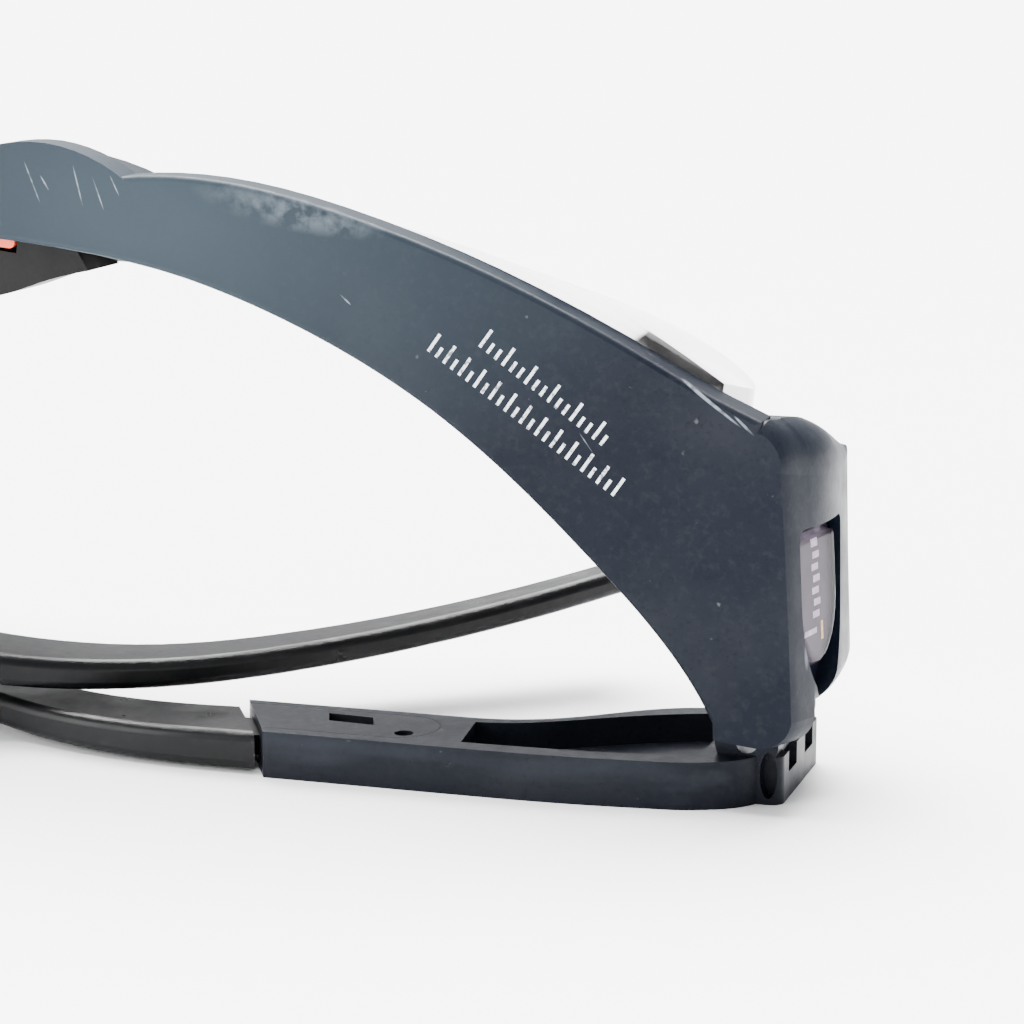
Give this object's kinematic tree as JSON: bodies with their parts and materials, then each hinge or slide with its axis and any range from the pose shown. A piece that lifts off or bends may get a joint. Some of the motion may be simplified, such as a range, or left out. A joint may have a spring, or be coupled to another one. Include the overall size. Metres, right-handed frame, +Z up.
{
  "type": "protective eyewear frame",
  "caption": "Brow-shelf eyewear front with a clear shield, nose pads and telescopic temples, lying folded on its temples with the shield up.",
  "frame": {"origin": "centre of the folded frame's bounding box in plan, on the table it lies on", "axes": "+X the wearer's right, +Y down the wearer's face, away from the brow, +Z up from the table and out through the shield; the front leans 6.5 degrees down to +X"},
  "size_m": [0.1362, 0.0428, 0.0524],
  "materials": {
    "frame": "matte moulded navy-grey nylon, fine grain, scuffed",
    "shield": "clear polycarbonate with a faint smoke tint",
    "nose": "satin black nylon",
    "pad": "soft black elastomer",
    "lock": "orange-red moulded acetal",
    "badge": "printed dark purple label",
    "dome": "clear domed resin",
    "pin": "bright stainless pin",
    "temple": "matte moulded navy-grey nylon",
    "cover": "matte dark nylon",
    "spring": "bright spring strip",
    "tip": "satin black nylon"
  },
  "bodies": {
    "front": {"brow_frame": "frame", "shield": "shield", "nose_bridge": "nose", "nose_pad_right": "pad", "nose_pad_left": "pad", "badge_right": "badge", "badge_left": "badge", "badge_dome_right": "dome", "badge_dome_left": "dome", "hinge_pin_right": "pin", "hinge_pin_left": "pin"},
    "lock": {"lens_lock": "lock"},
    "right_temple": {"temple_arm_right": "temple", "sleeve_cover_right": "cover", "detent_spring_right": "spring"},
    "right_tip": {"temple_tip_right": "tip"},
    "left_temple": {"temple_arm_left": "temple", "sleeve_cover_left": "cover", "detent_spring_left": "spring"},
    "left_tip": {"temple_tip_left": "tip"}
  },
  "joints": [
    {"name": "right_fold", "type": "hinge", "parent": "front", "child": "right_temple", "pos_m": [0.06195, -0.00973, 0.005], "axis": [0, -1, 0], "range_deg": [0, 83.5]},
    {"name": "left_fold", "type": "hinge", "parent": "front", "child": "left_temple", "pos_m": [-0.06324, -0.00973, 0.01926], "axis": [0, 1, 0], "range_deg": [0, 87.1]},
    {"name": "right_length", "type": "slide", "parent": "right_temple", "child": "right_tip", "axis": [-1, 0, 0], "range_m": [0, 0.003]},
    {"name": "left_length", "type": "slide", "parent": "left_temple", "child": "left_tip", "axis": [0.9866, 0, -0.1633], "range_m": [0, 0.003]},
    {"name": "lock_slide", "type": "slide", "parent": "front", "child": "lock", "axis": [-0.9936, 0, 0.1132], "range_m": [0, 0.002], "stiffness_N_per_m": 300}
  ]
}
